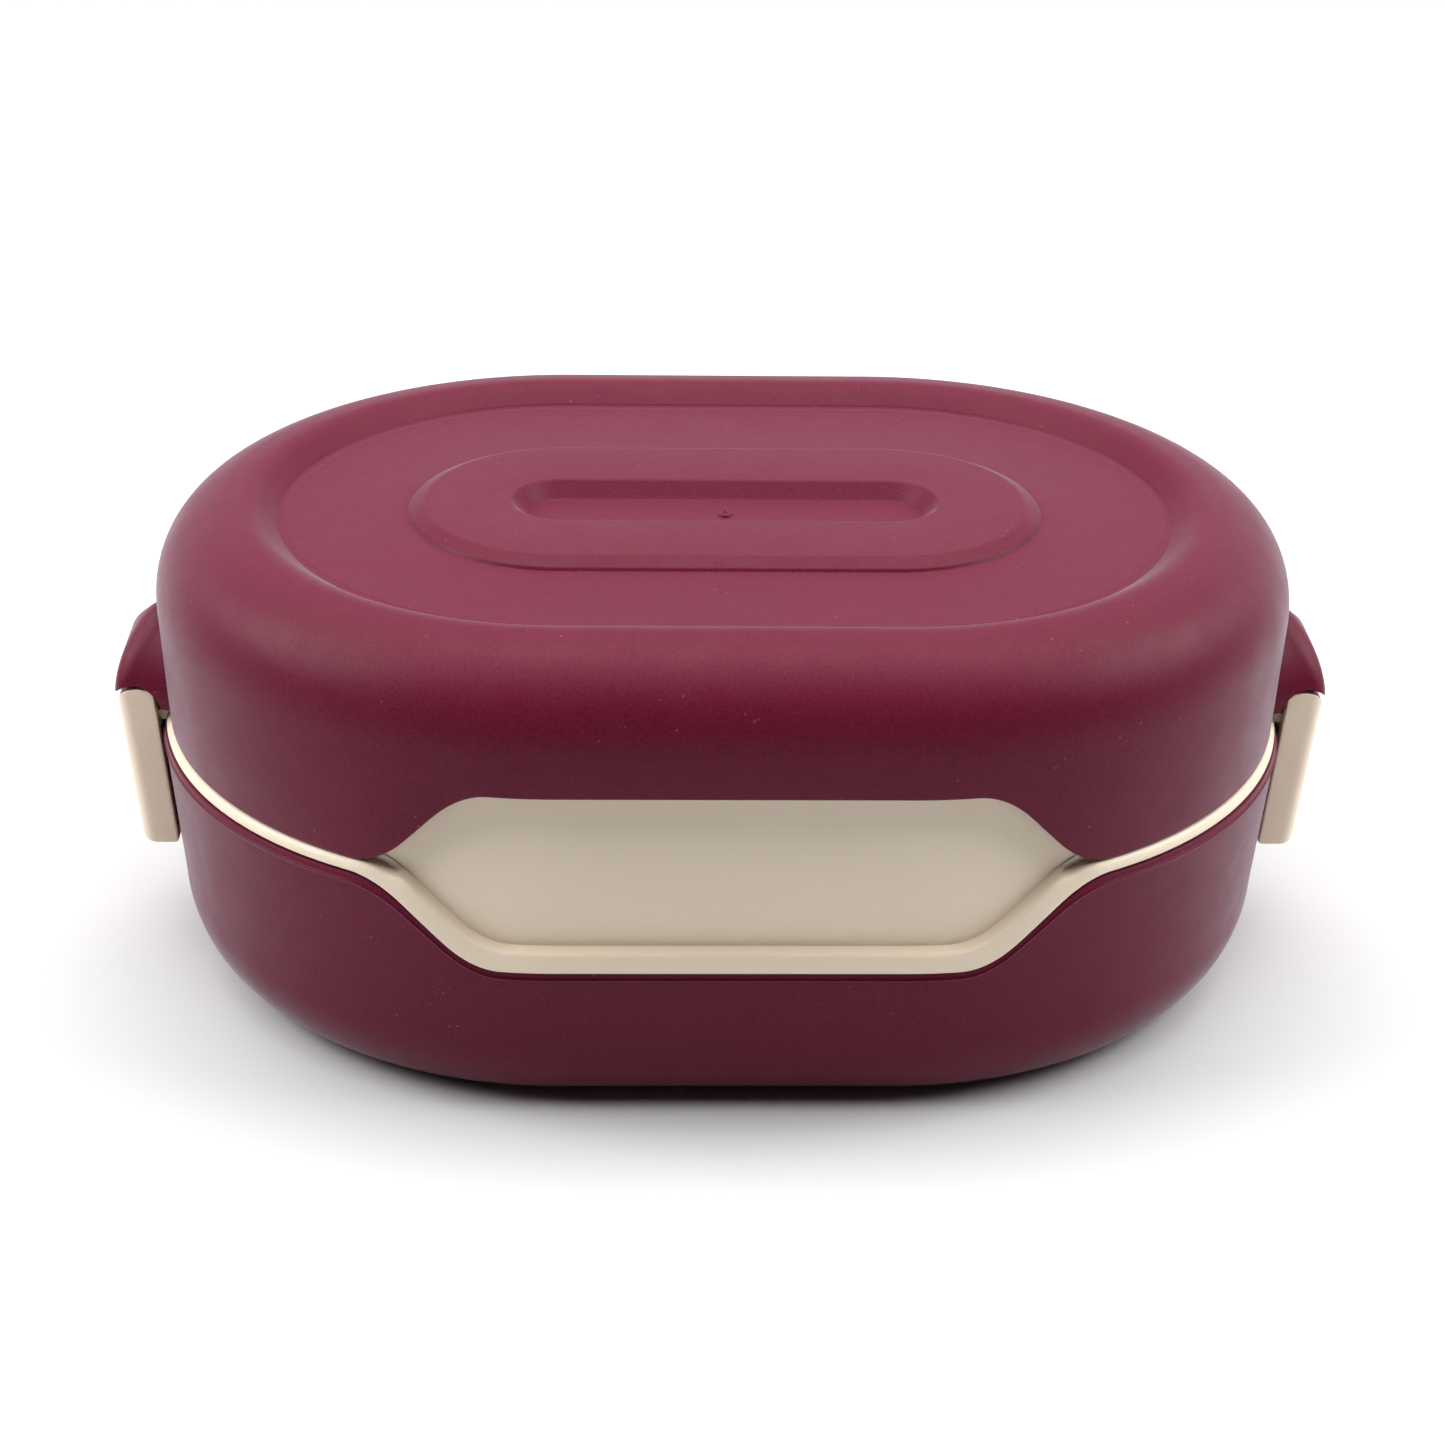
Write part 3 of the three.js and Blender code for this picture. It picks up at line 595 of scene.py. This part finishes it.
def latch():
    """The right latch: a rounded blank, hollowed behind, with knuckle, hook and lug slot."""
    outline = closed_fillet(
        [(latch_outer(CROWN_Z - 2.9), CROWN_Z - 2.9), (TOP_OUT - 0.9, CROWN_Z - 1.5),
         (TOP_OUT - 2.3, CROWN_Z - 0.4), (PX - 0.5, CROWN_Z), (TOP_IN + 0.9, CROWN_Z - 0.3),
         (TOP_IN, CROWN_Z - 1.2), (FOOT_IN, FOOT_Z), (FOOT_OUT, FOOT_Z)],
        [1.5, 1.5, 2.5, 3.0, 0.8, 0.8, 0.8, 2.8], 6)
    rings = []
    for z in (FOOT_Z - 1, CROWN_Z + 1):
        reach, root = latch_outer(z), latch_inner(z)
        arc = [(reach - CORNER * (1 - math.cos(a)), LATCH_HALF - CORNER * (1 - math.sin(a)))
               for a in np.linspace(0, math.pi / 2, 10)]
        inner = fillet([(root + 3, LATCH_HALF), (root, LATCH_HALF), (root, 0)], [0, 0.5, 0], 3)
        side = arc + inner[:-1]
        rings.append([(x, -y, z) for x, y in side[::-1]] + [(x, y, z) for x, y in side])
    body = prism("latch_right_visual", outline, -LATCH_HALF, LATCH_HALF)
    combine(body, [skin("blank", rings)], "INTERSECT")
    floor = FOOT_Z + SKIN

    def inside(z):
        return latch_outer(z) - SKIN

    hollow = [(INSIDE_X, floor), (inside(floor), floor), (inside(PZ), PZ),
              (inside(PZ), ABOVE_LATCH_Z), (INSIDE_X, ABOVE_LATCH_Z)]
    box_side = loft("box_side", lambda along: [
        (bowl_radius(FOOT_Z - 5) + 0.5, FOOT_Z - 5), (RIM_RADIUS + 0.5, RIM_Z),
        (RIM_RADIUS + 0.5, LID_EDGE_Z)], COARSE)
    combine(body, [prism("hollow", hollow, -CHEEK, CHEEK), box_side], "DIFFERENCE")
    combine(body, [
        rod("knuckle", PX, PZ, KNUCKLE, -CHEEK - 0.2, CHEEK + 0.2),
        block("hook", HOOK_TIP_X, inside(RIM_Z) + 0.5, -HOOK_HALF, HOOK_HALF,
              RIM_Z - HOOK_THICK, RIM_Z),
    ], "UNION")
    slot = LUG_HALF + GAP
    return combine(body, [
        block("slot", INSIDE_X, OUTSIDE_X, -slot, slot, PZ - LUG_SLOT_DEPTH, ABOVE_LATCH_Z),
        rod("bore", PX, PZ, PIN_RADIUS + GAP, PIN_LO[1] - GAP, 20),
    ], "DIFFERENCE")


# ---- build -----------------------------------------------------------------------------------
bowl = loft("outer_bowl_visual", bowl_column)
can = combine(loft("food_container_visual", can_column), catch_tabs() + divider_guides(), "UNION")
lid = loft("lid_shell_visual", lid_column)
right_hood = hood()
combine(lid, [mirrored(right_hood, "hood_left"), right_hood, gate_mark()], "UNION")
plate = loft("lid_plate_visual", plate_column)
seal = loft("lid_seal_visual", seal_column, capped=False)
cross = add_bevel(cross_divider(), 0.35)
end = add_bevel(end_divider(), 0.35)
pins = [add_bevel(latch_pin(), 0.25)]
pins.append(add_bevel(mirrored(pins[0], "latch_pin_left_visual"), 0.25))
latches = [add_bevel(latch(), 0.6)]
latches.append(add_bevel(mirrored(latches[0], "latch_left_visual"), 0.6))
for obj in (can, lid):
    shade(obj)


# ---- materials -------------------------------------------------------------------------------
class Nodes:
    """Small helper round one material's node tree."""

    def __init__(self, name):
        self.material = bpy.data.materials.new(name)
        self.material.use_nodes = True
        self.tree = self.material.node_tree
        self.shader = self.tree.nodes["Principled BSDF"]
        self.place = self.add("ShaderNodeTexCoord").outputs["Object"]

    def add(self, kind, inputs=(), **settings):
        node = self.tree.nodes.new(kind)
        for key, value in settings.items():
            setattr(node, key, value)
        for key, value in dict(inputs).items():
            if isinstance(value, bpy.types.NodeSocket):
                self.tree.links.new(value, node.inputs[key])
            else:
                node.inputs[key].default_value = value
        return node

    def noise(self, scale, detail=3.0, rough=0.55, place=None):
        node = self.add("ShaderNodeTexNoise", {
            "Vector": place or self.place, "Scale": scale, "Detail": detail, "Roughness": rough})
        return node.outputs["Fac"]

    def ramp(self, value, low, high, out_low, out_high):
        node = self.add("ShaderNodeMapRange", {
            "Value": value, "From Min": low, "From Max": high,
            "To Min": out_low, "To Max": out_high})
        return node.outputs["Result"]

    def mix(self, share, first, second):
        node = self.add("ShaderNodeMix", data_type="RGBA")
        for index, value in ((0, share), (6, first), (7, second)):
            if isinstance(value, bpy.types.NodeSocket):
                self.tree.links.new(value, node.inputs[index])
            else:
                node.inputs[index].default_value = value if index == 0 else (*value, 1)
        return node.outputs[2]

    def bump(self, height, strength, distance, normal=None):
        inputs = {"Height": height, "Strength": strength, "Distance": distance * MM}
        if normal is not None:
            inputs["Normal"] = normal
        return self.add("ShaderNodeBump", inputs).outputs["Normal"]

    def link(self, socket, name):
        self.tree.links.new(socket, self.shader.inputs[name])

    def fix(self, **values):
        for name, value in values.items():
            self.shader.inputs[name.replace("_", " ")].default_value = value


# Shares of the paler colour in the mottle and in the specks.
MOTTLE, SPECKS = 0.9, 0.5


def moulded(name, base, deep, rough, grain, grain_size, pale=None):
    """Moulded plastic: drifting tone and fine grain; pale adds a mottle and tiny specks."""
    n = Nodes(name)
    drift = n.ramp(n.noise(16, 2), 0.3, 0.7, 0.0, 1.0)
    colour = n.mix(drift, deep, base)
    if pale:
        mottle = n.ramp(n.noise(2300, 2, 0.6), 0.3, 0.7, 0.0, MOTTLE)
        colour = n.mix(mottle, colour, pale)
        dots = n.add("ShaderNodeTexVoronoi", {"Vector": n.place, "Scale": 520.0})
        size = n.ramp(dots.outputs["Distance"], 0.05, 0.16, SPECKS, 0.0)
        keep = n.ramp(n.noise(260, 0), 0.68, 0.72, 0.0, 1.0)
        dot = n.add("ShaderNodeMath", {0: size, 1: keep}, operation="MULTIPLY").outputs[0]
        colour = n.mix(dot, colour, tuple(min(1.0, 2.4 * c + 0.05) for c in pale))
    n.link(colour, "Base Color")
    spread = n.noise(130, 4, 0.6)
    n.link(n.ramp(spread, 0.3, 0.7, rough - 0.05, rough + 0.06), "Roughness")
    fine = n.noise(grain_size, 3, 0.6)
    wave = n.bump(n.noise(34, 2), 0.25, 0.12)
    n.link(n.bump(fine, grain, 0.05, wave), "Normal")
    return n


BURGUNDY = moulded("burgundy_satin", (0.098, 0.0016, 0.0175), (0.088, 0.0013, 0.0150),
                   0.46, 0.32, 1500, pale=(0.122, 0.0080, 0.0270))
BURGUNDY.fix(Specular_IOR_Level=0.14, Sheen_Weight=0.31, Sheen_Roughness=0.33,
             Sheen_Tint=(0.84, 0.88, 1.0, 1))
BEIGE = moulded("beige_semi_gloss", (0.77, 0.655, 0.515), (0.75, 0.635, 0.495),
                0.40, 0.06, 900)
BEIGE.fix(Specular_IOR_Level=0.5)
LATCH = moulded("latch_plastic_look", (0.84, 0.71, 0.56), (0.82, 0.69, 0.54),
                0.36, 0.16, 1100)
LATCH.fix(Specular_IOR_Level=0.45)
DIVIDER = moulded("divider_plastic_look", (0.75, 0.64, 0.50), (0.72, 0.61, 0.475),
                  0.34, 0.14, 1000)
SEAL = moulded("silicone_look", (0.74, 0.72, 0.68), (0.70, 0.68, 0.64), 0.6, 0.2, 1400)
SEAL.fix(Specular_IOR_Level=0.35)


def drawn_steel():
    n = Nodes("drawn_steel")
    stretched = n.add("ShaderNodeMapping", {"Vector": n.place, "Scale": (1.0, 0.05, 1.0)})
    lines = n.noise(5200, 3, 0.6, stretched.outputs["Vector"])
    n.link(n.mix(lines, (0.50, 0.50, 0.51), (0.70, 0.70, 0.71)), "Base Color")
    n.link(n.ramp(lines, 0.3, 0.7, 0.22, 0.38), "Roughness")
    n.link(n.bump(lines, 0.25, 0.01), "Normal")
    n.fix(Metallic=1.0)
    return n


STEEL = drawn_steel()


def install(obj, body, node, look):
    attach(obj, body)
    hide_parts(node)
    obj.data.materials.clear()
    obj.data.materials.append(look.material)


install(bowl, "base", "outer_bowl", BURGUNDY)
install(can, "base", "food_container", BEIGE)
install(cross, "base", "divider_cross", DIVIDER)
install(end, "base", "divider_end", DIVIDER)
install(lid, "lid", "lid_shell", BURGUNDY)
install(plate, "lid", "lid_plate", BEIGE)
install(seal, "lid", "lid_seal", SEAL)
for side, pin, clip in zip(("right", "left"), pins, latches):
    install(pin, "lid", f"latch_pin_{side}", STEEL)
    install(clip, f"latch_{side}", f"latch_{side}", LATCH)


# ---- stage -----------------------------------------------------------------------------------
scene = bpy.context.scene
world = bpy.data.worlds.new("studio")
world.use_nodes = True
world.node_tree.nodes["Background"].inputs["Color"].default_value = (1, 1, 1, 1)
world.node_tree.nodes["Background"].inputs["Strength"].default_value = 0.02
scene.world = world
FLOOR_HALF, FLOOR_Z = 4000, -0.2
corners = [(x * FLOOR_HALF, y * FLOOR_HALF, FLOOR_Z)
           for x, y in ((-1, -1), (1, -1), (1, 1), (-1, 1))]
floor = smooth_mesh("floor", corners, [(0, 1, 2, 3)])
floor_look = Nodes("floor")
floor_look.fix(Base_Color=(0.62, 0.62, 0.62, 1), Roughness=0.8, Specular_IOR_Level=0.2)
floor.data.materials.append(floor_look.material)


def area(name, location, target, width, height, radiance):
    """A rectangular light; its power follows from its radiance and its size in metres."""
    data = bpy.data.lights.new(name, "AREA")
    data.shape = "RECTANGLE"
    data.size, data.size_y = width, height
    data.energy = radiance * math.pi * width * height
    obj = bpy.data.objects.new(name, data)
    obj.location = location
    obj.rotation_mode = "QUATERNION"
    obj.rotation_quaternion = (Vector(target) - Vector(location)).to_track_quat("-Z", "Y")
    scene.collection.objects.link(obj)
    return obj


MIDDLE = (0, 0, 0.05)
area("top_front", (0, -0.35, 1.15), MIDDLE, 1.7, 0.5, 1.75)
area("top_middle", (0, 0.2, 1.15), MIDDLE, 1.7, 0.55, 5.1)
area("top_back", (0, 0.8, 1.15), MIDDLE, 1.7, 0.55, 1.6)
area("back", (0, 1.7, 0.75), MIDDLE, 2.4, 1.2, 0.7)
for side, high, up, rim in ((-1, 8.1, 4.0, 1.1), (1, 7.3, 4.0, 1.1)):
    area(f"high{side}", (side * 0.95, -0.05, 0.85), MIDDLE, 0.7, 0.5, high)
    area(f"side{side}", (side * 1.15, 0.1, 0.65), MIDDLE, 0.8, 0.5, up)
    area(f"rim{side}", (side * 0.9, 0.75, 0.35), MIDDLE, 0.6, 0.7, rim)

# ---- camera, fitted to the photo's outlines; angles in radians, distances in metres ----------
ORBIT_CENTRE = (0, 0, 0.045)
AIM = (0.0002, 0, 0.0407)
ELEVATION, AZIMUTH, DISTANCE, ROLL = 0.4677, -0.0317, 0.5658, 0.0176
camera_data = bpy.data.cameras.new("camera")
camera_data.lens = 73.48
camera_data.sensor_width = 36
camera = bpy.data.objects.new("camera", camera_data)
back = Vector((math.sin(AZIMUTH) * math.cos(ELEVATION), -math.cos(AZIMUTH) * math.cos(ELEVATION),
               math.sin(ELEVATION)))
camera.location = Vector(ORBIT_CENTRE) + back * DISTANCE
turn = (Vector(AIM) - camera.location).to_track_quat("-Z", "Y")
camera.rotation_mode = "QUATERNION"
camera.rotation_quaternion = turn @ Quaternion((0, 0, 1), ROLL)
scene.collection.objects.link(camera)
scene.camera = camera
scene.view_settings.view_transform = "Standard"
